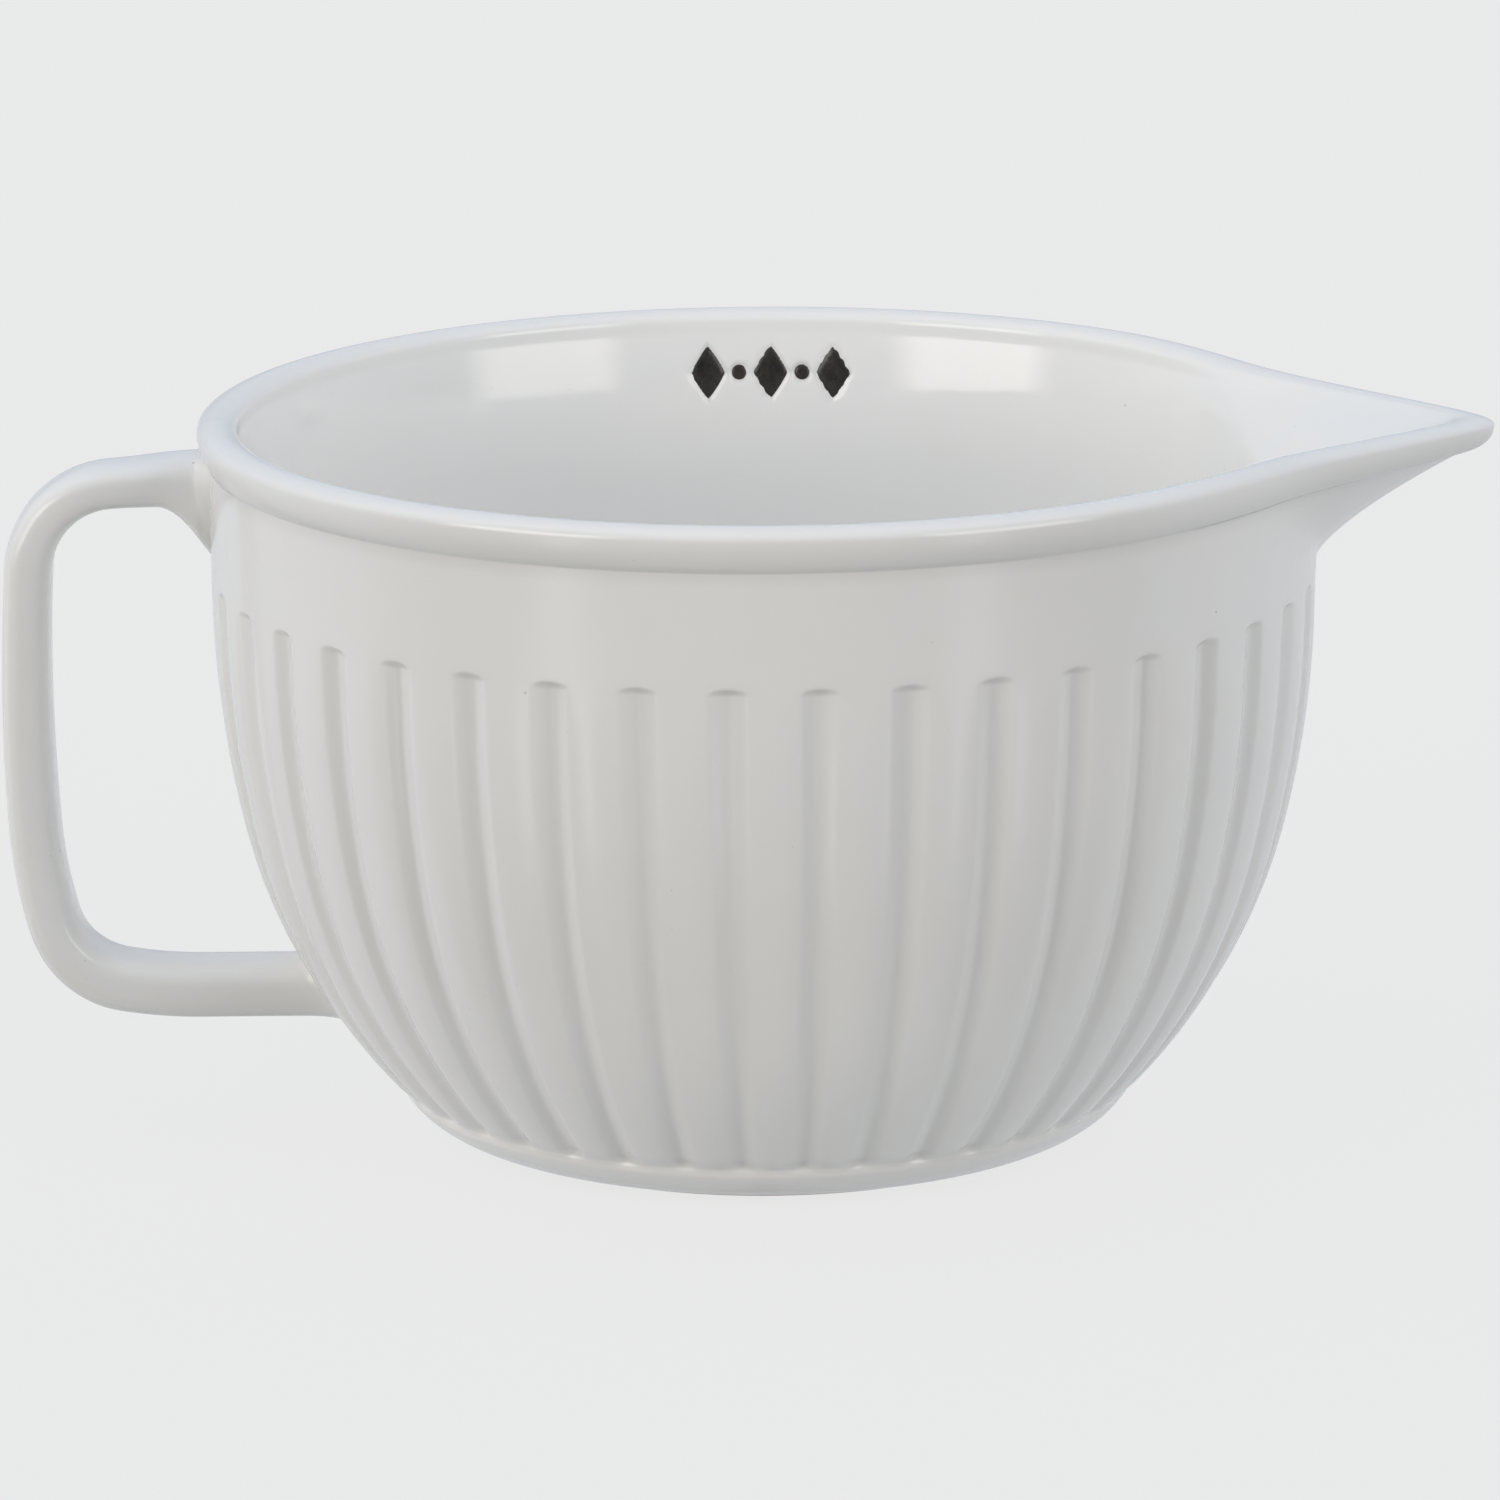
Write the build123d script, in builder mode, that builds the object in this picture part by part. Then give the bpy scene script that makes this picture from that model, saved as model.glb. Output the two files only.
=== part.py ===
"""A white stoneware batter bowl: a fluted bowl with a rolled rim, a pouring spout and a strap handle.

Millimetres. +Z is up and z = 0 is the table the foot rests on. The origin is on the bowl's axis.
The spout points along +X and the handle is on the -X side. The stamped marks are on the inside of
the wall on the +Y side. It is one fired piece of pottery. Each solid below is a region of it that
a potter makes as a step of its own, and neighbouring regions touch face to face.
"""

import os
from math import acos, asin, cos, degrees, hypot, radians, sin

from build123d import *

# ---------------------------------------------------------------- driving dimensions

# wall of the bowl
BAND_RADIUS = 104.7  # outside of the plain band under the rim
WALL = 5.4
BELLY_HEIGHT = 104.0  # where the straight band starts to curve inwards
BELLY_ARC = 185.0  # radius of the outline's upper, flatter arc
BELLY_TURN = 13.8  # degrees that the upper arc turns through
SIDE_ARC = 110.4  # radius of the outline's lower, tighter arc
FLOOR_HEIGHT = 9.0  # inside bottom of the bowl
FLOOR_CORNER = 16.0
INNER_RADIUS = BAND_RADIUS - WALL

# rolled rim, an oval bead that wraps over the top of the wall
RIM_LINE = 133.3  # height of the bead's middle, where the wall inside it ends
BEAD_HALF_WIDTH = 3.8
BEAD_HALF_HEIGHT = 4.4
RIM_RADIUS = INNER_RADIUS + BEAD_HALF_WIDTH

# flutes, shallow channels down the outside of the wall
FLUTES = 40
FLUTE_DEPTH = 1.15
FLUTE_CUTTER = 5.7  # radius of the round channel
FLUTE_TOP = 104.6  # height of the centre of the channel's round upper end

# foot
FOOT_RADIUS = 57.5  # outer edge of the face that the bowl rests on
FOOT_INNER_RADIUS = 49.0
RECESS_HEIGHT = 3.0  # underside of the floor above the table
GLAZE_LINE = 1.2  # the foot is bare below this height
GLAZE_LINE_RADIUS = 60.0
COLLAR_HEIGHT = 5.2
COLLAR_SHOULDER = (64.4, 2.7)  # a point on the collar's rounded outside

# spout
SPOUT_SECTOR = 44.0  # degrees either side of the X axis
SPOUT_BOTTOM = 108.5  # where keel and trough start
CREASE_HEIGHT = 129.3  # underside of the lip's bead
LIP_REACH = 32.3  # how far the tip of the lip stands out from the round rim
LIP_HALF_HEIGHT = 3.2  # of the bead, at the tip
KEEL_REACH = 29.9  # how far the spout's underside stands out from the band at the crease
SPOUT_CURVE = 1.4  # how strongly keel and trough curve: 1 is a straight slope
FLANK_TUCK = 2.4  # how far inside the bowl's circle the line of a straight flank passes
FLANK_BLEND = 1.2  # softness of the hollow where a flank leaves the bowl
TIP_ROUNDING = 2.0  # degrees
LEVELS = 5
STEPS_PER_SIDE = 9

# handle
STRAP_WIDTH = 17.0
STRAP_THICKNESS = 9.4
STRAP_CORNER = 4.0
STRAP_UPPER_HEIGHT = 124.9
STRAP_LOWER_HEIGHT = 25.4
STRAP_OUT = 140.3  # distance of the upright part's middle from the axis
STRAP_BEND = 22.0
GUSSET_START = 117.0  # where the upper arm starts to flare
FLARE_DROP = 8.4
FLARE_NARROWING = 2.0
PAD_FACE = 107.6  # outer face of the pad that joins the flare to the bowl
PAD_ROOT = 101.0
PAD_HALF_WIDTH = 25.0
PAD_TOE_HALF_WIDTH = 5.0
PAD_CORNER = 3.0
PAD_BOTTOM = 109.6
PAD_TOP = 129.6
LOWER_JOINT_START = 92.0
LOWER_JOINT_ROOT = 79.0
JOINT_SPREAD = 3.5

# stamped marks, stained dark, on the inside of the wall
MARK_MIDDLE = 3.2  # how far the row's middle is towards the spout
MARK_HEIGHT = 124.8
MARK_PITCH = 12.6
LOZENGE_HALF_WIDTH = 3.4
LOZENGE_HALF_HEIGHT = 5.2
DOT_RADIUS = 1.5
STAMP_DEPTH = 0.7
STAIN_BELOW_SURFACE = 0.2

os.makedirs("parts", exist_ok=True)


def save(builder, name):
    """Label a finished piece and write it to its own file."""
    builder.part.label = name
    export_step(builder.part, f"parts/{name}.step")


# ---------------------------------------------------------------- shared outlines


def wall_arcs(start, offset, bottom):
    """Draw the bowl's two side arcs from start, offset outwards, down to the height bottom."""
    side_centre_height = BELLY_HEIGHT - (BELLY_ARC - SIDE_ARC) * sin(radians(BELLY_TURN))
    last_angle = degrees(asin((side_centre_height - bottom) / (SIDE_ARC + offset)))
    belly = JernArc(start=start, tangent=(0, -1), radius=BELLY_ARC + offset, arc_size=-BELLY_TURN)
    return JernArc(
        start=belly @ 1,
        tangent=belly % 1,
        radius=SIDE_ARC + offset,
        arc_size=BELLY_TURN - last_angle,
    )


def pushed_out(angle, base, reach):
    """Distance from the axis, at an angle from the X axis, of a circle pulled out to a rounded point."""
    if reach == 0:
        return base
    flank = base - FLANK_TUCK
    square_on = degrees(acos(flank / (base + reach))) + TIP_ROUNDING
    turn = max(square_on - hypot(angle, TIP_ROUNDING), 0)
    excess = flank / cos(radians(turn)) - base
    blend = FLANK_BLEND * reach / LIP_REACH
    at_rest = (hypot(FLANK_TUCK, blend) - FLANK_TUCK) / 2
    return base + (excess + hypot(excess, blend)) / 2 - at_rest


def sector_angles():
    """Angles from one side of the spout to the other, closer together near the tip."""
    steps = [step / STEPS_PER_SIDE for step in range(-STEPS_PER_SIDE, STEPS_PER_SIDE + 1)]
    return [SPOUT_SECTOR * step * abs(step) for step in steps]


def lip_points(base, reach, height=0):
    """Points along the pulled-out part of the circle, for a spline."""
    points = []
    for angle in sector_angles():
        distance = pushed_out(angle, base, reach)
        points.append((distance * cos(radians(angle)), distance * sin(radians(angle)), height))
    return points


def spout_block(base, reach, bottom, top):
    """A solid from the axis out to the spout, whose reach grows from nothing at the bottom."""
    with BuildPart() as block:
        for level in range(LEVELS + 1):
            share = level / LEVELS
            level_reach = reach * share**SPOUT_CURVE
            with BuildSketch(Plane.XY.offset(bottom + share * (top - bottom))):
                with BuildLine():
                    rounded = Spline(*lip_points(base, level_reach))
                    Polyline(rounded @ 1, (0, 0), rounded @ 0)
                make_face()
        loft()
    return block.part


def radial_plane(angle):
    """The upright plane through the axis at an angle from the X axis: x is outwards and y is up."""
    turn = radians(angle)
    return Plane(origin=(0, 0, 0), x_dir=(cos(turn), sin(turn), 0), z_dir=(sin(turn), -cos(turn), 0))


def across_handle(distance):
    """The plane square to the X axis on the handle's side: x is the strap's width and y is up."""
    return Plane(origin=(-distance, 0, 0), x_dir=(0, 1, 0), z_dir=(1, 0, 0))


# ---------------------------------------------------------------- tools used for cutting

# the sector of the bowl that the spout takes the place of
with BuildPart() as spout_sector:
    with BuildSketch(Plane.XY.offset(SPOUT_BOTTOM)):
        with BuildLine():
            far = 2 * BAND_RADIUS
            side = (far * cos(radians(SPOUT_SECTOR)), far * sin(radians(SPOUT_SECTOR)))
            Polyline((0, 0), (side[0], -side[1]), (far, 0), side, close=True)
        make_face()
    extrude(amount=RIM_LINE - SPOUT_BOTTOM + 2 * BEAD_HALF_HEIGHT)

# one flute: a round channel that follows the wall, with a round upper end
with BuildPart() as flute_cutter:
    channel_radius = BAND_RADIUS + FLUTE_CUTTER - FLUTE_DEPTH
    with BuildLine(Plane.XZ):
        run_in = Line((channel_radius, FLUTE_TOP), (channel_radius, BELLY_HEIGHT))
        wall_arcs(run_in @ 1, channel_radius - BAND_RADIUS, bottom=0)
    with BuildSketch(Plane.XY.offset(FLUTE_TOP)):
        with Locations((channel_radius, 0)):
            Circle(FLUTE_CUTTER)
    sweep()
    with Locations((channel_radius, 0, FLUTE_TOP)):
        Sphere(FLUTE_CUTTER)

# the stamped shapes, standing across the wall on the +Y side
with BuildPart() as stamps:
    with BuildSketch(Plane.XZ.offset(WALL - INNER_RADIUS)):
        with Locations((MARK_MIDDLE, MARK_HEIGHT)):
            with GridLocations(MARK_PITCH, 0, 3, 1):
                Polygon(
                    (LOZENGE_HALF_WIDTH, 0),
                    (0, LOZENGE_HALF_HEIGHT),
                    (-LOZENGE_HALF_WIDTH, 0),
                    (0, -LOZENGE_HALF_HEIGHT),
                )
            with GridLocations(MARK_PITCH, 0, 2, 1):
                Circle(DOT_RADIUS)
    extrude(amount=-3 * WALL)

# the recesses that the stamp leaves in the wall
with BuildPart() as recesses:
    Cylinder(INNER_RADIUS + STAMP_DEPTH, 2 * RIM_LINE)
    add(stamps.part, mode=Mode.INTERSECT)

# ---------------------------------------------------------------- bowl and rim

# the fluted outside of the bowl, filled solid
with BuildPart() as bowl_blank:
    with BuildSketch(Plane.XZ):
        with BuildLine():
            outer_band = Line((BAND_RADIUS, RIM_LINE), (BAND_RADIUS, BELLY_HEIGHT))
            outer_side = wall_arcs(outer_band @ 1, 0, COLLAR_HEIGHT)
            collar_top = outer_side @ 1
            Polyline(
                collar_top,
                (FOOT_INNER_RADIUS, COLLAR_HEIGHT),
                (FOOT_INNER_RADIUS, RECESS_HEIGHT),
                (0, RECESS_HEIGHT),
                (0, RIM_LINE),
                outer_band @ 0,
            )
        make_face()
    revolve(axis=Axis.Z)
    with PolarLocations(0, FLUTES, start_angle=180 / FLUTES):
        add(flute_cutter.part, mode=Mode.SUBTRACT)

# the fluted wall and the floor, with the spout's sector left out
with BuildPart() as bowl_body:
    add(bowl_blank.part)
    with BuildSketch(Plane.XZ):
        with BuildLine():
            inner_band = Line((INNER_RADIUS, RIM_LINE), (INNER_RADIUS, BELLY_HEIGHT))
            inner_side = wall_arcs(inner_band @ 1, -WALL, FLOOR_HEIGHT)
            Polyline(inner_side @ 1, (0, FLOOR_HEIGHT), (0, RIM_LINE), inner_band @ 0)
        make_face()
        fillet(vertices().sort_by_distance(tuple(inner_side @ 1)[:2])[0], FLOOR_CORNER)
    revolve(axis=Axis.Z, mode=Mode.SUBTRACT)
    add(spout_sector.part, mode=Mode.SUBTRACT)
    add(recesses.part, mode=Mode.SUBTRACT)
save(bowl_body, "bowl_body")

# the bead over the rim, from one side of the spout round the handle's side to the other
with BuildPart() as rim_roll:
    with BuildSketch(radial_plane(SPOUT_SECTOR)):
        with Locations((RIM_RADIUS, RIM_LINE)):
            Ellipse(BEAD_HALF_WIDTH, BEAD_HALF_HEIGHT)
        with Locations((BAND_RADIUS, RIM_LINE)):
            Rectangle(2 * WALL, 2 * WALL, align=(Align.MAX, Align.MAX), mode=Mode.SUBTRACT)
    revolve(axis=Axis.Z, revolution_arc=360 - 2 * SPOUT_SECTOR)
save(rim_roll, "rim_roll")

# ---------------------------------------------------------------- spout

# the pulled wall of the spout, from the seams with the bowl out to the tip
with BuildPart() as spout:
    add(spout_block(BAND_RADIUS, KEEL_REACH, SPOUT_BOTTOM, CREASE_HEIGHT))
    extrude(faces().sort_by(Axis.Z)[-1], amount=RIM_LINE - CREASE_HEIGHT)
    outside_block = spout.part
    add(spout_block(INNER_RADIUS, LIP_REACH, SPOUT_BOTTOM, RIM_LINE), mode=Mode.SUBTRACT)
save(spout, "spout")

# the bead along the edge of the spout, thinner at the tip
with BuildPart() as spout_lip:
    with BuildLine() as lip_path:
        seam = radians(SPOUT_SECTOR)
        Spline(
            *lip_points(RIM_RADIUS, LIP_REACH, RIM_LINE),
            tangents=((sin(seam), cos(seam), 0), (-sin(seam), cos(seam), 0)),
        )
    for angle in (-SPOUT_SECTOR, 0, SPOUT_SECTOR):
        half_height = BEAD_HALF_HEIGHT if angle else LIP_HALF_HEIGHT
        with BuildSketch(radial_plane(angle)):
            with Locations((pushed_out(angle, RIM_RADIUS, LIP_REACH), RIM_LINE)):
                Ellipse(BEAD_HALF_WIDTH, half_height)
    sweep(path=lip_path.line, multisection=True)
    add(outside_block, mode=Mode.SUBTRACT)
save(spout_lip, "spout_lip")

# ---------------------------------------------------------------- foot

# the glazed collar under the wall, which shows as a small ledge at the end of every flute
with BuildPart() as foot_collar:
    with BuildSketch(Plane.XZ):
        with BuildLine():
            collar_side = ThreePointArc(
                (GLAZE_LINE_RADIUS, GLAZE_LINE), COLLAR_SHOULDER, collar_top
            )
            Polyline(
                collar_side @ 1,
                (FOOT_INNER_RADIUS, COLLAR_HEIGHT),
                (FOOT_INNER_RADIUS, GLAZE_LINE),
                collar_side @ 0,
            )
        make_face()
    revolve(axis=Axis.Z)
save(foot_collar, "foot_collar")

# the bare clay edge that the bowl stands on
with BuildPart() as foot_edge:
    with BuildSketch(Plane.XZ):
        with BuildLine():
            Polyline(
                (FOOT_INNER_RADIUS, 0),
                (FOOT_RADIUS, 0),
                (GLAZE_LINE_RADIUS, GLAZE_LINE),
                (FOOT_INNER_RADIUS, GLAZE_LINE),
                close=True,
            )
        make_face()
    revolve(axis=Axis.Z)
save(foot_edge, "foot_edge")

# ---------------------------------------------------------------- handle

# the strap, a rounded oblong bent through two corners
with BuildPart() as handle_strap:
    with BuildLine(Plane.XZ) as strap_path:
        FilletPolyline(
            (-GUSSET_START, STRAP_UPPER_HEIGHT),
            (-STRAP_OUT, STRAP_UPPER_HEIGHT),
            (-STRAP_OUT, STRAP_LOWER_HEIGHT),
            (-LOWER_JOINT_START, STRAP_LOWER_HEIGHT),
            radius=STRAP_BEND,
        )
    with BuildSketch(across_handle(GUSSET_START)):
        with Locations((0, STRAP_UPPER_HEIGHT)):
            RectangleRounded(STRAP_WIDTH, STRAP_THICKNESS, STRAP_CORNER)
    sweep(path=strap_path.line)
save(handle_strap, "handle_strap")

# the flare under the upper arm, which hollows down towards the bowl
with BuildPart() as handle_flare:
    for distance, share in ((GUSSET_START, 0), ((GUSSET_START + PAD_FACE) / 2, 0.3), (PAD_FACE, 1)):
        height = STRAP_THICKNESS + share * FLARE_DROP
        with BuildSketch(across_handle(distance)):
            with Locations((0, STRAP_UPPER_HEIGHT + STRAP_THICKNESS / 2)):
                RectangleRounded(
                    STRAP_WIDTH - share * FLARE_NARROWING,
                    height,
                    STRAP_CORNER,
                    align=(Align.CENTER, Align.MAX),
                )
    loft()
save(handle_flare, "handle_flare")

# the smeared clay pad that joins the flare to the wall, spreading sideways under the rim
with BuildPart() as upper_joint:
    for distance, half_width in ((PAD_FACE, STRAP_WIDTH / 2), (PAD_ROOT, PAD_HALF_WIDTH)):
        with BuildSketch(across_handle(distance)):
            with BuildLine():
                Polyline(
                    (half_width, PAD_TOP),
                    (-half_width, PAD_TOP),
                    (-PAD_TOE_HALF_WIDTH, PAD_BOTTOM),
                    (PAD_TOE_HALF_WIDTH, PAD_BOTTOM),
                    close=True,
                )
            make_face()
            fillet(vertices(), PAD_CORNER)
    loft()
    add(bowl_blank.part, mode=Mode.SUBTRACT)
    add(rim_roll.part, mode=Mode.SUBTRACT)
save(upper_joint, "upper_joint")

# the collar of clay that joins the lower arm to the wall
with BuildPart() as lower_joint:
    for distance, spread in ((LOWER_JOINT_START, 0), (LOWER_JOINT_ROOT, JOINT_SPREAD)):
        with BuildSketch(across_handle(distance)):
            with Locations((0, STRAP_LOWER_HEIGHT)):
                RectangleRounded(STRAP_WIDTH + spread, STRAP_THICKNESS + spread, STRAP_CORNER)
    loft()
    add(bowl_blank.part, mode=Mode.SUBTRACT)
save(lower_joint, "lower_joint")

# ---------------------------------------------------------------- stamped marks

# each mark is a thin layer of dark stain at the bottom of a recess in the wall
for number, mark in enumerate(stamps.part.solids().sort_by(Axis.X), start=1):
    with BuildPart() as stain:
        Cylinder(INNER_RADIUS + STAMP_DEPTH, 2 * RIM_LINE)
        Cylinder(INNER_RADIUS + STAIN_BELOW_SURFACE, 2 * RIM_LINE, mode=Mode.SUBTRACT)
        add(mark, mode=Mode.INTERSECT)
    save(stain, f"stamped_mark_{number}")
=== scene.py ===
"""The looks of a white stoneware batter bowl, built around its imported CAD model.

The bowl with its rim, spout and collar is one glazed surface. The handle, the bare foot ring and the
stamped marks are pieces of their own. Shapes are worked out in millimetres, in the CAD model's frame,
and turned into metres when a mesh is made. The spout points along +X and the handle is on the -X side.
"""

from math import acos, atan2, cos, degrees, hypot, pi, radians, sin, sqrt

import bpy
from mathutils import Matrix, Vector


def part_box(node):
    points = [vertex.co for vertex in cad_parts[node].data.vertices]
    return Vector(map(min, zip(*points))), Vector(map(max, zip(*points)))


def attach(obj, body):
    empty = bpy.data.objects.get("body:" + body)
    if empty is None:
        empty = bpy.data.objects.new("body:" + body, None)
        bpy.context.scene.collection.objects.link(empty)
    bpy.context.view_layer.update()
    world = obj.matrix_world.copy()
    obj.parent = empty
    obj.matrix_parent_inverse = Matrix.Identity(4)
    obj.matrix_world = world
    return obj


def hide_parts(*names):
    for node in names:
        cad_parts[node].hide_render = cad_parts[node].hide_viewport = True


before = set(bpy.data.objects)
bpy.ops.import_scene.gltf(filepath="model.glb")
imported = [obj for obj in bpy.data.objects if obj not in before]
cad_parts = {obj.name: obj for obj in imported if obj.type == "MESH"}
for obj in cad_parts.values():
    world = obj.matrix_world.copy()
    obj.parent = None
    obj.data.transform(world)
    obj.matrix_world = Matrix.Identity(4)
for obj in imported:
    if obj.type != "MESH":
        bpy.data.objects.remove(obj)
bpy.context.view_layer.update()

MM = 0.001

# ---------------------------------------------------------------- sizes read from the CAD model


def extent(node):
    """The lowest and highest corners of a CAD node, in millimetres."""
    low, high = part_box(node)
    return low / MM, high / MM


body_low, body_high = extent("bowl_body")
rim_low, rim_high = extent("rim_roll")
lip_high = extent("spout_lip")[1]
spout_low = extent("spout")[0]
collar_high = extent("foot_collar")[1]
edge_high = extent("foot_edge")[1]

BAND_RADIUS = body_high.x
RIM_LINE = body_high.z
RIM_OUTSIDE = rim_high.y
LIP_REACH = lip_high.x - RIM_OUTSIDE
CREASE_HEIGHT = rim_low.z
SPOUT_BOTTOM = spout_low.z
BEAD_HALF_HEIGHT = rim_high.z - RIM_LINE
UNDERSIDE = body_low.z
COLLAR_RADIUS = collar_high.x
COLLAR_EDGE = 2.8  # height of the rounded upper edge that the CAD model leaves out
COLLAR_TOP = collar_high.z + COLLAR_EDGE
GLAZE_LINE = edge_high.z
GLAZE_LINE_RADIUS = edge_high.x

# ---------------------------------------------------------------- sizes of the bowl

WALL = 5.4  # its thickness at the rim
BEAD_HALF_WIDTH = 3.8
BEAD_WAIST_RISE = 2.1  # how far above the rim line the bead is widest
INSIDE_RADIUS = RIM_OUTSIDE - 2 * BEAD_HALF_WIDTH
BEAD_START = degrees(acos((BAND_RADIUS - RIM_OUTSIDE + BEAD_HALF_WIDTH) / BEAD_HALF_WIDTH))

BELLY_HEIGHT = 104.0  # the outline's two arcs, as in the CAD model
BELLY_ARC = 185.0
BELLY_TURN = radians(13.8)
SIDE_ARC = 110.4
SIDE_CENTRE = (
    BAND_RADIUS - BELLY_ARC + (BELLY_ARC - SIDE_ARC) * cos(BELLY_TURN),
    BELLY_HEIGHT - (BELLY_ARC - SIDE_ARC) * sin(BELLY_TURN),
)
FLOOR_HEIGHT = 9.0
FLOOR_CORNER = 16.0
FOOT_RADIUS = 57.5
FOOT_INNER_RADIUS = 49.0
COLLAR_SHOULDER = (66.2, 3.6)
COLLAR_LEDGE = 0.1  # how far the collar stands out from the wall
COLLAR_LEDGE_DROP = 0.3  # how far below the wall's first row the collar ends
COVE_DEPTH = 0.6  # of the hollow above the collar
COVE_HEIGHT = 3.5
COVE_EDGE = 1.0  # height over which the hollow begins
FLUTE_FADE = 2.2  # height over which the flutes grow shallower towards the collar

FLUTES = 40
FLUTE_TOP = 106.8
FLUTE_HALF_WIDTH = (3.7, 2.9)  # at the flute's top and at its foot
FLUTE_SLOPE = (0.47, 0.45)  # of its two sides, at the top and at the foot
FLUTE_ROUNDING = 1.0  # of the groove along its bottom
FLUTE_EDGE_SOFTNESS = 0.12  # of the edges where its sides meet the wall
FLUTE_END_STEEPNESS = 2.4  # how much more steeply its upper end rises than its sides
POOL_DEPTH = 2.4  # how deep a flute would be for its pooled glaze to be as grey as the painted shade in the crease under the rim
RIB_CROWN = (0.45, 0.8)  # how much lower a rib's edges are than its middle, top and foot
CROWN_FADE = (4, 12)  # how far above the flutes the crown begins, and the height it grows over

CREASE_SHADE = 3.0  # how far below the bead the painted shade of its crease reaches down the band
BEAD_SHADE_SHARE = 0.45  # how far round the bead from its crease, as a share of the way to its top, the same painted shade reaches

LIP_INSIDE_REACH = 29.8  # how far the spout's inside stands out from the bowl's circle
LIP_TIP_HALF_HEIGHT = 2.9  # of the bead, at the tip
LIP_TIP_FALL = 1.2  # how much lower the edge is at the tip than where the spout begins
KEEL_REACH = 29.9  # how far the spout's underside stands out at the crease
SPOUT_CURVE = 1.4  # how strongly the keel curves out: 1 is a straight slope
TROUGH_CURVE = 2.2  # the same for the inside
FLANK_TUCK = 6.2  # how far inside the bowl's circle the line of a straight flank passes
FLANK_BLEND = 4.2  # softness of the hollow where a flank leaves the bowl
BLEND_CURVE = 0.6  # how slowly that softness goes down with the spout's reach
LIP_DIP = 1.28  # how far the rim sags where it leaves the circle for the spout
LIP_DIP_SECTOR = (46.0, 10.0)  # degrees from the tip where the dip begins and is complete
TIP_ROUNDING = 2.0  # degrees

INSIDE_SWELL = 3.2  # how much thicker the wall is below the rim than at the rim
SWELL_HEIGHT = 26.0  # how far below the rim line that thickness is reached

# stamped marks on the inside of the wall, on the +Y side
MARK_HEIGHT = 125.4  # of the marks' middle
MARK_SPACING = 6.3
LOZENGE = (3.4, 5.2)  # half width and half height
DOT = (1.5, 1.5)
MARKS_MIDDLE = 3.2  # how far the row's middle is towards the spout
MARKS = [
    (MARKS_MIDDLE + MARK_SPACING * place, DOT if place % 2 else LOZENGE) for place in range(-2, 3)
]
MARKS_SECTOR = 12.0  # degrees either side of +Y
STAMP_DEPTH = 0.7
STAMP_EDGE = 0.9  # width of a recess's sloping edge
STAIN_THICKNESS = 0.45
STAIN_PROFILE = (  # shares of a mark's size and of the stain's thickness, over its top and underneath
    (0.02, 1),
    (0.3, 1),
    (0.55, 0.97),
    (0.75, 0.86),
    (0.9, 0.62),
    (0.97, 0.35),
    (1, 0),
    (1, -0.4),
    (0.5, -0.4),
    (0.02, -0.4),
)
LOZENGE_SQUARENESS = 1.2  # 1 has straight sides and sharp corners

# handle, from the wall under the rim round to the wall above the foot
STRAP_HALF_WIDTH = 8.5
STRAP_SQUARENESS = 3.2  # 2 is an oval section, and higher is squarer
STRAP_START = 107.2  # distance from the axis of the crease between the pad and the upper arm
STRAP_START_HEIGHT = 125.7
STRAP_START_FALL = radians(4)  # how much the upper arm falls away from the bowl
STRAP_START_THICKNESS = 9.5
STRAP_LEGS = (  # length, degrees turned and thickness at the end
    (16.4, 0, 8.3),  # upper arm
    (24.4, 82.2, 9.1),  # upper bend
    (50.7, 7.5, 9.8),  # upright
    (19.0, 12, 9.9),  # start of the lower bend
    (18.8, 64.3, 10.8),  # lower bend
    (15.0, 10, 10.8),  # lower arm
)
STRAP_END = 91.0  # distance from the axis where the lower arm starts to spread
STRAP_STEP = 1.2  # about the longest step between two sections
STRAP_TURN_STEP = 4  # and about the most degrees that the strap turns in one
FLARE_START = 114.8  # distance from the axis where the upper arm starts to deepen
FLARE_DROP = 7.3  # how much deeper it is at the pad
FLARE_CURVE = 1.86  # how late the flare opens: 1 is a straight slope
PAD_TOP_SPREAD = 1.75  # how many times as wide the pad is on the wall as at the crease, at its top
PAD_TOE_SPREAD = 0.45  # the same at its lower end
PAD_TOE_HEIGHT = 109.3  # of the pad's lower end on the wall
LOWER_SPREAD = 1.6  # how much the lower joint grows all round
SUNK = 1.0  # how far the handle's ends run into the wall

# ---------------------------------------------------------------- mesh density

EDGE_REACH = 4.5  # millimetres either side of a flute's middle that get close columns
EDGE_COLUMNS = 9
RIB_COLUMNS = 3
HALF_FLUTE = EDGE_COLUMNS + RIB_COLUMNS
COLUMNS = 2 * HALF_FLUTE * FLUTES
TIP_SECTOR = 27.0  # degrees either side of the spout's tip where columns crowd towards it
TIP_CROWDING = 1.5  # how strongly: 1 leaves them evenly spaced
STRAP_POINTS = 72
FOOT_POINTS = 240
MARK_POINTS = 64

# rows of the bowl's surface, as places or as how many steps there are between them
RECESS_RADII = (8, 20, 32, 42, 46, 48.2)  # under the floor
RECESS_HEIGHTS = (2.8, 2.2)  # on the inner side of the foot
COLLAR_STEPS = 14
CLOSE_ROWS = (12.0, 13)  # height where the close rows above the collar end, and their steps
WIDE_ROWS = (14.4, 37)  # height where the wider rows above those begin, and their steps
FLUTE_END_GAPS = (2.0, 1.5)  # how far below the flutes' tops the wider rows end and close ones begin
FLUTE_END_STEPS = 14
BAND_GAPS = (0.5, 0.4)  # from the spout's bottom to the band's first row, and its last to the crease
BAND_STEPS = 28
BEAD_STEPS = (22, 14)  # before the bead's top and past it
SPOUT_INSIDE_STEPS = 48
LOWER_INSIDE_END = 20.0  # height of the last row above the floor's round corner
LOWER_INSIDE_STEPS = 24
CORNER_STEPS = 8
FLOOR_RADII = (50, 40, 30, 20, 10, 4)

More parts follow.
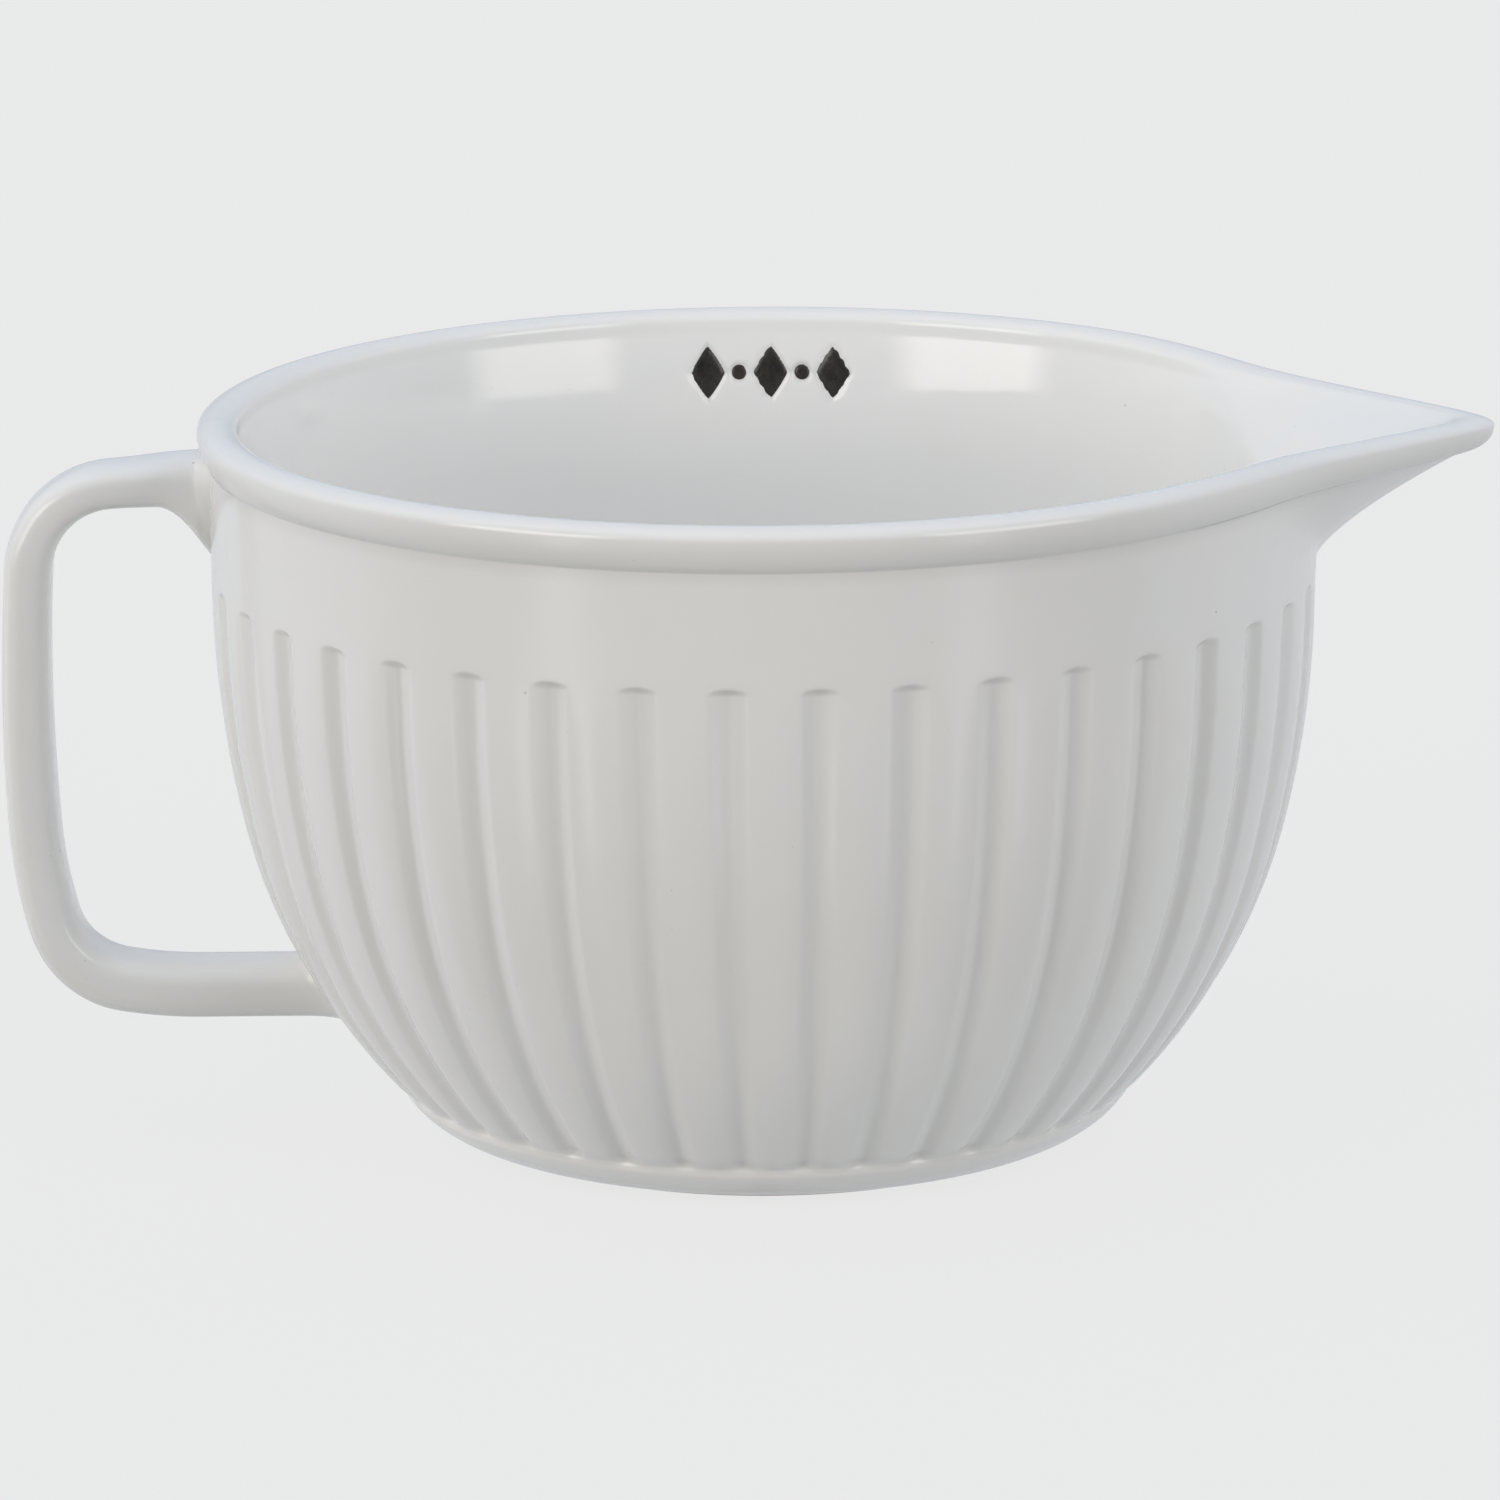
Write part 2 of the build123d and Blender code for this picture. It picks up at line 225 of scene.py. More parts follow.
PAD_SHARES = (1, 0.75, 0.5, 0.25, 0.08, 0.02)  # rings of the pad, from the wall to the crease
LOWER_SHARES = (0.15, 0.35, 0.55, 0.7, 0.82, 0.92, 1)  # rings of the lower joint, to the wall

# ---------------------------------------------------------------- small helpers


def spread(start, end, steps):
    """Evenly spaced values from start to end, both included."""
    return [start + (end - start) * step / steps for step in range(steps + 1)]


def arc(centre, radius, start, end, steps):
    """Points of an arc in the upright plane, as distances from the axis and heights."""
    return [
        (centre[0] + radius * cos(radians(turn)), centre[1] + radius * sin(radians(turn)))
        for turn in spread(start, end, steps)
    ]


def arc_through(first, middle, last, steps):
    """Points of the arc that starts at first, passes through middle and ends at last."""
    (ax, ay), (bx, by), (cx, cy) = first, middle, last
    scale = 2 * (ax * (by - cy) + bx * (cy - ay) + cx * (ay - by))
    a, b, c = ax * ax + ay * ay, bx * bx + by * by, cx * cx + cy * cy
    centre = (
        (a * (by - cy) + b * (cy - ay) + c * (ay - by)) / scale,
        (a * (cx - bx) + b * (ax - cx) + c * (bx - ax)) / scale,
    )
    start = degrees(atan2(ay - centre[1], ax - centre[0]))
    end = degrees(atan2(cy - centre[1], cx - centre[0]))
    return arc(centre, hypot(ax - centre[0], ay - centre[1]), start, end, steps)


def smooth_step(share):
    """0 to 1 with level ends."""
    share = min(max(share, 0), 1)
    return share * share * (3 - 2 * share)


def soft_positive(value, softness):
    """The value where it is positive and 0 where it isn't, with a rounded corner between."""
    return (value + hypot(value, softness)) / 2


def make_piece(name, points, faces, material, *nodes, slot):
    """A smooth mesh from points in millimetres, which stands for some CAD nodes."""
    mesh = bpy.data.meshes.new(name)
    mesh.from_pydata([(x * MM, y * MM, z * MM) for x, y, z in points], [], faces)
    mesh.validate()
    mesh.shade_smooth()
    mesh.materials.append(material)
    piece = bpy.data.objects.new(name, mesh)
    bpy.context.scene.collection.objects.link(piece)
    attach(piece, "root")
    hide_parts(*nodes)
    return piece


def ring_faces(rings, size):
    """Quads between neighbouring rings of the same size, whose points follow one another."""
    faces = []
    for ring in range(rings - 1):
        for step in range(size):
            here = ring * size + step
            beside = ring * size + (step + 1) % size
            faces.append((here, beside, beside + size, here + size))
    return faces


def closed_tube(rings):
    """Points and faces of a tube through rings of the same size, closed at both ends."""
    size = len(rings[0])
    points = [point for ring in rings for point in ring]
    faces = ring_faces(len(rings), size)
    faces.append(tuple(range(size))[::-1])
    faces.append(tuple(range(len(points) - size, len(points))))
    return points, faces


def oblong_point(turn, squareness):
    """A point at a turn round an outline 2 wide and 2 high: a circle at squareness 2, squarer above."""
    return [abs(part) ** (2 / squareness) * (1 if part > 0 else -1) for part in (cos(turn), sin(turn))]


# ---------------------------------------------------------------- shape of the bowl


def wall_radius(height, offset=0):
    """Distance from the axis of the wall's plain outside, or of a face offset from it."""
    if height >= BELLY_HEIGHT:
        return BAND_RADIUS + offset
    drop = BELLY_HEIGHT - height
    if drop <= (BELLY_ARC + offset) * sin(BELLY_TURN):
        return BAND_RADIUS - BELLY_ARC + sqrt((BELLY_ARC + offset) ** 2 - drop**2)
    return SIDE_CENTRE[0] + sqrt((SIDE_ARC + offset) ** 2 - (SIDE_CENTRE[1] - height) ** 2)


def crown_share(height):
    """How much of the ribs' crown there is at a height, fading out above the flutes."""
    above, length = CROWN_FADE
    return smooth_step((FLUTE_TOP + above - height) / length)


def flute_depth(across, height, half_pitch):
    """How deep the wall is cut, at a distance across from the middle of a flute."""
    down = min(max((FLUTE_TOP - height) / (FLUTE_TOP - COLLAR_TOP), 0), 1)
    half_width, slope, crown = (
        top + (foot - top) * down for top, foot in (FLUTE_HALF_WIDTH, FLUTE_SLOPE, RIB_CROWN)
    )
    above = max(height - FLUTE_TOP, 0) * FLUTE_END_STEEPNESS
    cut = slope * (half_width - hypot(across, above, FLUTE_ROUNDING))
    fall = crown * cos(pi * across / half_pitch / 2) ** 2 * crown_share(height)
    return soft_positive(cut, FLUTE_EDGE_SOFTNESS) + fall


def pushed_out(angle, base, reach):
    """Distance from the axis, at an angle from the X axis, of a circle pulled out to a rounded point."""
    if reach <= 0:
        return base
    flank = base - FLANK_TUCK
    square_on = degrees(acos(flank / (base + reach))) + TIP_ROUNDING
    turn = max(square_on - hypot(angle, TIP_ROUNDING), 0)
    excess = flank / cos(radians(turn)) - base
    blend = FLANK_BLEND * (reach / LIP_REACH) ** BLEND_CURVE
    at_rest = (hypot(FLANK_TUCK, blend) - FLANK_TUCK) / 2
    return base + soft_positive(excess, blend) - at_rest


def spout_share(height, top, curve=SPOUT_CURVE):
    """How far out the spout has come at a height, from 0 at its bottom to 1 at the top."""
    return max((height - SPOUT_BOTTOM) / (top - SPOUT_BOTTOM), 0) ** curve


def inside_swell(height):
    """How much thicker the wall is at a height than at the rim, where its inside opens outwards."""
    below = min(max((RIM_LINE - height) / SWELL_HEIGHT, 0), 1)
    return INSIDE_SWELL * (1 - (1 - below) ** 2)


def trough_radius(angle, height):
    """Distance from the axis of the inside of the upper wall and of the spout."""
    reach = LIP_INSIDE_REACH * spout_share(height, RIM_LINE, TROUGH_CURVE)
    return pushed_out(angle, INSIDE_RADIUS, reach) - inside_swell(height)


def bead_shape(angle):
    """Distance out, half width, height and half height of the rim's bead, and degrees past its top."""
    outside = pushed_out(angle, RIM_OUTSIDE, LIP_REACH)
    inside = pushed_out(angle, INSIDE_RADIUS, LIP_INSIDE_REACH)
    share = max(outside - RIM_OUTSIDE, 0) / LIP_REACH
    half_width = (outside - inside) / 2
    half_height = BEAD_HALF_HEIGHT + sqrt(share) * (LIP_TIP_HALF_HEIGHT - BEAD_HALF_HEIGHT)
    begins, complete = LIP_DIP_SECTOR
    dip = LIP_DIP * smooth_step((begins - abs(angle)) / (begins - complete)) + LIP_TIP_FALL * share
    middle_height = RIM_LINE + BEAD_HALF_HEIGHT - dip - half_height
    outward_slope = max(trough_radius(angle, RIM_LINE + 1) - trough_radius(angle, RIM_LINE), 0)
    turn = degrees(atan2(half_width, half_height * outward_slope))
    return (outside + inside) / 2, half_width, middle_height, half_height, turn


bead_shapes = {}


def bead_at(angle):
    """The bead's shape, worked out once for each angle."""
    key = round(angle, 6)
    if key not in bead_shapes:
        bead_shapes[key] = bead_shape(angle)
    return bead_shapes[key]


def bead_point(angle, turn_share, past_top):
    """A point on the bead, before its top from the crease or past its top to the inside wall."""
    middle, half_width, middle_height, half_height, last_turn = bead_at(angle)
    turn = 90 + last_turn * turn_share if past_top else -BEAD_START + (90 + BEAD_START) * turn_share
    waist = BEAD_WAIST_RISE * half_height / BEAD_HALF_HEIGHT
    reach_up = half_height - waist if turn > 0 else half_height + waist / sin(radians(BEAD_START))
    return (
        middle + half_width * cos(radians(turn)),
        middle_height + waist + reach_up * sin(radians(turn)),
    )


# Each row of the surface is a function that takes the angle from the X axis, the distance across
# from the nearest flute's middle and half the flutes' pitch, and gives a distance from the axis, a
# height and how grey the glaze is there, from pooling in flutes and stamps and from painted shade
# under the rim's bead. Rows run from the middle of the underside out, up the outside, over the rim
# and down the inside to the middle of the floor.


def plain_row(radius, height):
    """A row of the turned surface, the same all round."""
    return lambda angle, across, half_pitch: (radius, height, 0)


def fluted_row(height):
    """A row of the outside wall below the spout."""
    above = height - COLLAR_TOP
    cove = COVE_DEPTH * smooth_step(above / COVE_EDGE) * (1 - smooth_step(above / COVE_HEIGHT))
    strength = smooth_step(above / FLUTE_FADE)

    def point(angle, across, half_pitch):
        depth = strength * flute_depth(across, height, half_pitch)
        return wall_radius(height) - cove - depth, height, depth / POOL_DEPTH

    return point


def band_row(height):
    """A row of the plain band under the rim, pulled out into the spout's keel."""
    reach = KEEL_REACH * spout_share(height, CREASE_HEIGHT)
    up = (height - SPOUT_BOTTOM) / (CREASE_HEIGHT - SPOUT_BOTTOM)
    # painted shade: the band is greyed just under the bead's crease, fading downwards
    crease_shade = 1 - smooth_step((CREASE_HEIGHT - height) / CREASE_SHADE)

    def point(angle, across, half_pitch):
        depth = flute_depth(across, height, half_pitch)
        lift = up * (bead_point(angle, 0, past_top=False)[1] - bead_point(180, 0, past_top=False)[1])
        pool_and_shade = max(depth / POOL_DEPTH, crease_shade)
        return pushed_out(angle, BAND_RADIUS, reach) - depth, height + lift, pool_and_shade

    return point


def bead_row(turn_share, past_top=False):
    """A row of the rim's bead."""
    # painted shade: the bead's underside is greyed near its crease, fading towards its top
    pool_and_shade = 0 if past_top else 1 - smooth_step(turn_share / BEAD_SHADE_SHARE)
    return lambda angle, across, half_pitch: (*bead_point(angle, turn_share, past_top), pool_and_shade)


def inside_row(depth_share):
    """A row of the inside wall from the bead down to the spout's bottom."""

    def point(angle, across, half_pitch):
        edge, edge_height = bead_point(angle, 1, past_top=True)
        height = edge_height + (SPOUT_BOTTOM - edge_height) * depth_share
        settle = (edge - trough_radius(angle, edge_height)) * (1 - depth_share) ** 2
        stamp = stamp_depth(angle, height)
        return trough_radius(angle, height) + settle + stamp, height, stamp / STAMP_DEPTH

    return point


def stamp_depth(angle, height):
    """Depth of the stamped recesses in the inside of the wall, on its +Y side."""
    if not 90 - MARKS_SECTOR < angle < 90 + MARKS_SECTOR:
        return 0
    sideways = INSIDE_RADIUS * cos(radians(angle))
    inwards = max(
        mark_edge(shape, sideways - middle, height - MARK_HEIGHT) for middle, shape in MARKS
    )
    return STAMP_DEPTH * smooth_step(1 + inwards / STAMP_EDGE)


def foot_rows():
    """Rows from near the middle of the underside out to the collar's upper edge."""
    outline = [(radius, UNDERSIDE) for radius in RECESS_RADII]
    outline += [(FOOT_INNER_RADIUS, height) for height in (*RECESS_HEIGHTS, GLAZE_LINE)]
    collar_start = (GLAZE_LINE_RADIUS, GLAZE_LINE)
    collar_end = (wall_radius(COLLAR_TOP) + COLLAR_LEDGE, COLLAR_TOP - COLLAR_LEDGE_DROP)
    outline += arc_through(collar_start, COLLAR_SHOULDER, collar_end, COLLAR_STEPS)
    return [(plain_row(radius, height), COLLAR_RADIUS, 0) for radius, height in outline]


def outside_rows():
    """Rows up the outside of the wall and of the spout to the crease under the bead."""
    close_end, close_steps = CLOSE_ROWS
    wide_start, wide_steps = WIDE_ROWS
    wide_gap, end_gap = FLUTE_END_GAPS
    heights = spread(COLLAR_TOP, close_end, close_steps)
    heights += spread(wide_start, FLUTE_TOP - wide_gap, wide_steps)
    heights += spread(FLUTE_TOP - end_gap, SPOUT_BOTTOM, FLUTE_END_STEPS)
    rows = [(fluted_row(height), wall_radius(height), 0) for height in heights]
    first_gap, last_gap = BAND_GAPS
    band = spread(SPOUT_BOTTOM + first_gap, CREASE_HEIGHT - last_gap, BAND_STEPS) + [CREASE_HEIGHT]
    for height in band:
        rows.append((band_row(height), BAND_RADIUS, spout_share(height, CREASE_HEIGHT)))
    return rows


def rim_rows():
    """Rows over the bead, from the crease outside to where it meets the inside of the wall."""
    before, past = BEAD_STEPS
    rows = [(bead_row(share), BAND_RADIUS, 1) for share in spread(0, 1, before)]
    rows += [(bead_row(share, past_top=True), BAND_RADIUS, 1) for share in spread(0, 1, past)[1:]]
    return rows


def inside_rows():
    """Rows down the inside of the spout and of the wall to near the middle of the floor."""
    rows = []
    for share in spread(0, 1, SPOUT_INSIDE_STEPS)[1:]:
        rows.append((inside_row(share), BAND_RADIUS, 1 - share))
    thickness = WALL + INSIDE_SWELL
    heights = spread(SPOUT_BOTTOM, LOWER_INSIDE_END, LOWER_INSIDE_STEPS)[1:]
    outline = [(wall_radius(height, -thickness), height) for height in heights]
    outline += floor_corner(thickness)
    outline += [(radius, FLOOR_HEIGHT) for radius in FLOOR_RADII]
    return rows + [(plain_row(radius, height), BAND_RADIUS, 0) for radius, height in outline]


def floor_corner(thickness):
    """Points of the round corner between the inside of the wall and the floor."""
    height = FLOOR_HEIGHT + FLOOR_CORNER
    drop = SIDE_CENTRE[1] - height
    reach = SIDE_ARC - thickness - FLOOR_CORNER
    centre = (SIDE_CENTRE[0] + sqrt(reach**2 - drop**2), height)
    start = -degrees(atan2(drop, centre[0] - SIDE_CENTRE[0]))
    return arc(centre, FLOOR_CORNER, start, -90, CORNER_STEPS)


def bowl_rows():
    """Every row, with the radius that its columns are spaced for and how far they crowd the tip."""
    return foot_rows() + outside_rows() + rim_rows() + inside_rows()


def column_place(column, radius):
    """The angle of a column, its distance across from its flute's middle, and half the pitch."""
    flute, step = divmod(column, 2 * HALF_FLUTE)
    half_pitch = pi * radius / FLUTES
    steps_out = abs(step - HALF_FLUTE)
    if steps_out <= EDGE_COLUMNS:
        across = EDGE_REACH * steps_out / EDGE_COLUMNS
    else:
        across = EDGE_REACH + (half_pitch - EDGE_REACH) * (steps_out - EDGE_COLUMNS) / RIB_COLUMNS
    if step < HALF_FLUTE:
        across = -across
    angle = (flute + 0.5) * 360 / FLUTES + degrees(across / radius)
    return (angle + 180) % 360 - 180, across, half_pitch


def crowd_tip(angle, strength):
    """Move an angle near the spout's tip towards it, so that the tip's small radius is smooth."""
    if abs(angle) >= TIP_SECTOR:
        return angle
    crowded = TIP_SECTOR * (abs(angle) / TIP_SECTOR) ** TIP_CROWDING
    return (1 - strength) * angle + strength * (crowded if angle > 0 else -crowded)


def build_bowl(material):
    """The glazed surface of the bowl, rim, spout and collar as one closed mesh."""
    rows = bowl_rows()
    points = []
    pools_and_shades = []
    for row, spacing_radius, crowding in rows:
        for column in range(COLUMNS):
            angle, across, half_pitch = column_place(column, spacing_radius)
            angle = crowd_tip(angle, crowding)
            radius, height, pool_and_shade = row(angle, across, half_pitch)
            points.append((radius * cos(radians(angle)), radius * sin(radians(angle)), height))
            pools_and_shades.append(pool_and_shade)
    faces = ring_faces(len(rows), COLUMNS)
    first_centre, last_centre = len(points), len(points) + 1
    points += [(0, 0, UNDERSIDE), (0, 0, FLOOR_HEIGHT)]
    last_row = (len(rows) - 1) * COLUMNS
    for column in range(COLUMNS):
        beside = (column + 1) % COLUMNS
        faces.append((first_centre, beside, column))
        faces.append((last_centre, last_row + column, last_row + beside))
    pools_and_shades += [0, 0]
    nodes = ("bowl_body", "rim_roll", "spout", "spout_lip", "foot_collar")
    bowl = make_piece("glazed_bowl", points, faces, material, *nodes, slot="white_glaze")
    # greyness from pooled glaze and from painted shade under the rim's bead
    attribute = bowl.data.attributes.new("glaze_pool_and_shade", "FLOAT", "POINT")
    attribute.data.foreach_set("value", pools_and_shades)
    return bowl


def build_foot(material):
    """The unglazed ring of bare clay that the bowl stands on, slightly rounded at its edges."""
    outline = [
        (FOOT_INNER_RADIUS, GLAZE_LINE + 0.1),
        (FOOT_INNER_RADIUS, 0.5),
        (FOOT_INNER_RADIUS + 0.15, 0.15),
        (FOOT_INNER_RADIUS + 0.5, 0),
        (FOOT_RADIUS - 0.5, 0),
        (FOOT_RADIUS + 0.1, 0.15),
        (GLAZE_LINE_RADIUS, GLAZE_LINE),
        (GLAZE_LINE_RADIUS - 0.2, GLAZE_LINE + 0.1),
    ]
    points = []
    for radius, height in outline:
        for step in range(FOOT_POINTS):
            turn = 2 * pi * step / FOOT_POINTS
            points.append((radius * cos(turn), radius * sin(turn), height))
    faces = ring_faces(len(outline), FOOT_POINTS)
    last = (len(outline) - 1) * FOOT_POINTS
    for step in range(FOOT_POINTS):
        beside = (step + 1) % FOOT_POINTS
        faces.append((last + step, last + beside, beside, step))
    return make_piece("foot_ring", points, faces, material, "foot_edge", slot="bare_stoneware")


# ---------------------------------------------------------------- handle


def strap_path():
    """Places, headings and thicknesses along the strap, from the upper joint to the lower one."""
    place = Vector((-STRAP_START, 0, STRAP_START_HEIGHT))
    heading = pi + STRAP_START_FALL
    thickness = STRAP_START_THICKNESS
    path = [(place.copy(), heading, thickness)]
    for length, turn, end_thickness in STRAP_LEGS:
        steps = max(round(length / STRAP_STEP), round(turn / STRAP_TURN_STEP))
        start_thickness = thickness
        for step in range(1, steps + 1):
            halfway = heading + radians(turn) / steps / 2
            place = place + Vector((cos(halfway), 0, sin(halfway))) * length / steps
            heading += radians(turn) / steps
            thickness = start_thickness + (end_thickness - start_thickness) * smooth_step(step / steps)
            path.append((place.copy(), heading, thickness))
    path.append((Vector((-STRAP_END, 0, place.z)), heading, thickness))
    return path


def rounded_section(half_width, half_height):
    """Points round a section between an oval and an oblong, as distances across and out."""
    points = []
    for step in range(STRAP_POINTS):
        across, out = oblong_point(2 * pi * step / STRAP_POINTS, STRAP_SQUARENESS)
        points.append((half_width * across, half_height * out))
    return points


def on_wall(across, height):
    """The point a little inside the wall on the handle's side."""
    radius = wall_radius(height) - SUNK
    return Vector((-sqrt(radius**2 - across**2), across, height))


def pad_rings(crease):
    """Rings of the clay pad, from inside the wall out to the crease where the upper arm starts."""
    top = max(point.z for point in crease)
    bottom = min(point.z for point in crease)
    rings = []
    for share in PAD_SHARES:
        ring = []
        for point in crease:
            up = (point.z - bottom) / (top - bottom)
            widening = PAD_TOE_SPREAD + (PAD_TOP_SPREAD - PAD_TOE_SPREAD) * up
            root = on_wall(point.y * widening, PAD_TOE_HEIGHT + (top - PAD_TOE_HEIGHT) * up)
            ring.append(point + (root - point) * share)
        rings.append(ring)
    return rings


def lower_joint_rings(last):
    """Rings of the lower joint, from the end of the lower arm into the wall, spreading a little."""
    rings = []
    middle = sum(point.z for point in last) / len(last)
    for share in LOWER_SHARES:
        ring = []
        for point in last:
            grow = LOWER_SPREAD * share**4
            offset = Vector((0, point.y, point.z - middle))
            spread_out = offset * (1 + grow / offset.length)
            root = on_wall(spread_out.y, middle + spread_out.z)
            ring.append(Vector((point.x + (root.x - point.x) * share, root.y, root.z)))
        rings.append(ring)
    return rings


def build_handle(material):
    """The strap handle with the pad at its top and the joint at its foot, as one closed mesh."""
    path = strap_path()
    rings = []
    for place, heading, thickness in path:
        outward = Vector((cos(heading - pi / 2), 0, sin(heading - pi / 2)))
        into_flare = (FLARE_START + place.x) / (FLARE_START - STRAP_START)
        on_upper_arm = place.z > STRAP_START_HEIGHT / 2
        drop = FLARE_DROP * max(into_flare, 0) ** FLARE_CURVE if on_upper_arm else 0
        middle = place - outward * drop / 2
        section = rounded_section(STRAP_HALF_WIDTH, (thickness + drop) / 2)
        rings.append([middle + outward * out + Vector((0, across, 0)) for across, out in section])
    points, faces = closed_tube(pad_rings(rings[0]) + rings + lower_joint_rings(rings[-1]))
    nodes = ("handle_strap", "handle_flare", "upper_joint", "lower_joint")
    return make_piece("strap_handle", points, faces, material, *nodes, slot="white_glaze")


# ---------------------------------------------------------------- stamped marks


def mark_edge(shape, sideways, up):
    """How far inside a mark's outline a point of the wall is, negative outside it."""
    half_width, half_height = shape
    if shape == DOT:
        return half_width - hypot(sideways, up)
    inside = 1 - abs(sideways) / half_width - abs(up) / half_height
    return inside * half_width * half_height / hypot(half_width, half_height)


def build_mark(number, middle, shape, material):
    """The dark stain in one stamped recess: a shallow pool, deepest at its middle."""
    squareness = 2 if shape == DOT else LOZENGE_SQUARENESS
    rings = []
    for share, thickness in STAIN_PROFILE:
        ring = []
        for step in range(MARK_POINTS):
            across, up = oblong_point(-2 * pi * step / MARK_POINTS, squareness)
            sideways = middle + shape[0] * across * share
            height = MARK_HEIGHT + shape[1] * up * share
            surface = INSIDE_RADIUS - inside_swell(height) + STAMP_DEPTH
            radius = surface - STAIN_THICKNESS * thickness
            ring.append((sideways, sqrt(radius**2 - sideways**2), height))
        rings.append(ring)
    points, faces = closed_tube(rings)
    node = f"stamped_mark_{number}"
    return make_piece(f"stain_{number}", points, faces, material, node, slot="dark_stain")


# ---------------------------------------------------------------- materials


def new_look(name):
    """A new material with its node tree and its shader."""
    material = bpy.data.materials.new(name)
    material.use_nodes = True
    tree = material.node_tree
    return material, tree, tree.nodes["Principled BSDF"]


def rescale(tree, value, low, high, to_low=0, to_high=1):
    """A value moved from one range to another and kept inside it."""
    node = tree.nodes.new("ShaderNodeMapRange")
    tree.links.new(value, node.inputs["Value"])
    node.inputs["From Min"].default_value = low
    node.inputs["From Max"].default_value = high
    node.inputs["To Min"].default_value = to_low
    node.inputs["To Max"].default_value = to_high
    return node.outputs["Result"]


def combine(tree, operation, first, second):
    """Two values put together by an operation, where the second may be a plain number."""
    node = tree.nodes.new("ShaderNodeMath")
    node.operation = operation
    tree.links.new(first, node.inputs[0])
    if isinstance(second, (int, float)):
        node.inputs[1].default_value = second
    else:
        tree.links.new(second, node.inputs[1])
    return node.outputs["Value"]


def object_place(tree):
    """The place on the object, in metres."""
    return tree.nodes.new("ShaderNodeTexCoord").outputs["Object"]


NOISE_RANGE = (0.3, 0.7)  # most of a noise texture's values lie between these


def cloud(tree, size, detail=3):
    """A soft random pattern from 0 to 1, with patches about a size in millimetres across."""
    node = tree.nodes.new("ShaderNodeTexNoise")
    node.inputs["Scale"].default_value = 1 / (size * MM)
    node.inputs["Detail"].default_value = detail
    tree.links.new(object_place(tree), node.inputs["Vector"])
    return rescale(tree, node.outputs["Fac"], *NOISE_RANGE)


def specks(tree, spacing, radius, share):
    """Round specks, 1 at their middle and 0 outside them, in a share of the cells they are spread over."""
    cells = tree.nodes.new("ShaderNodeTexVoronoi")
    cells.inputs["Scale"].default_value = 1 / (spacing * MM)
    tree.links.new(object_place(tree), cells.inputs["Vector"])
    near = rescale(tree, cells.outputs["Distance"], 0, radius / spacing, 1, 0)
    draw = tree.nodes.new("ShaderNodeSeparateColor")
    tree.links.new(cells.outputs["Color"], draw.inputs["Color"])
    return combine(tree, "MULTIPLY", near, combine(tree, "LESS_THAN", draw.outputs["Red"], share))


MIX_SHARE, MIX_FIRST, MIX_SECOND = 0, 6, 7  # the inputs of a mix node that mixes colours
MIX_RESULT = 2  # and its output


def blend(tree, share, first, second):
    """A colour between two others. The first may be the result of another blend."""
    node = tree.nodes.new("ShaderNodeMix")
    node.data_type = "RGBA"
    tree.links.new(share, node.inputs[MIX_SHARE])
    if isinstance(first, tuple):
        node.inputs[MIX_FIRST].default_value = (*first, 1)
    else:
        tree.links.new(first, node.inputs[MIX_FIRST])
    node.inputs[MIX_SECOND].default_value = (*second, 1)
    return node.outputs[MIX_RESULT]


def roughen(tree, shader, *patterns):
    """Give the surface relief from patterns, each with its depth in millimetres."""
    normal = None
    for pattern, depth in patterns:
        bump = tree.nodes.new("ShaderNodeBump")
        bump.inputs["Distance"].default_value = depth * MM
        tree.links.new(pattern, bump.inputs["Height"])
        if normal:
            tree.links.new(normal, bump.inputs["Normal"])
        normal = bump.outputs["Normal"]
    tree.links.new(normal, shader.inputs["Normal"])


WARM_WHITE = (0.872, 0.866, 0.845)
COOL_WHITE = (0.850, 0.857, 0.850)
CREAM = (0.865, 0.845, 0.820)
# grey of pooled glaze, also used as painted shade under the rim's bead
POOLED_AND_SHADED_GREY = (0.740, 0.745, 0.730)
POOLED_AND_SHADED_SHARE = 0.5  # of that grey where the glaze pools deepest and where the painted shade under the bead is darkest
LARGE_SPECK = (0.300, 0.280, 0.240)
SMALL_SPECK = (0.450, 0.440, 0.420)
TOASTED = (0.330, 0.260, 0.200)
TOASTED_HEIGHT = 3.2  # how far above its edge the glaze thins
TOASTED_CURVE = 2.5  # how much of that is close to the edge


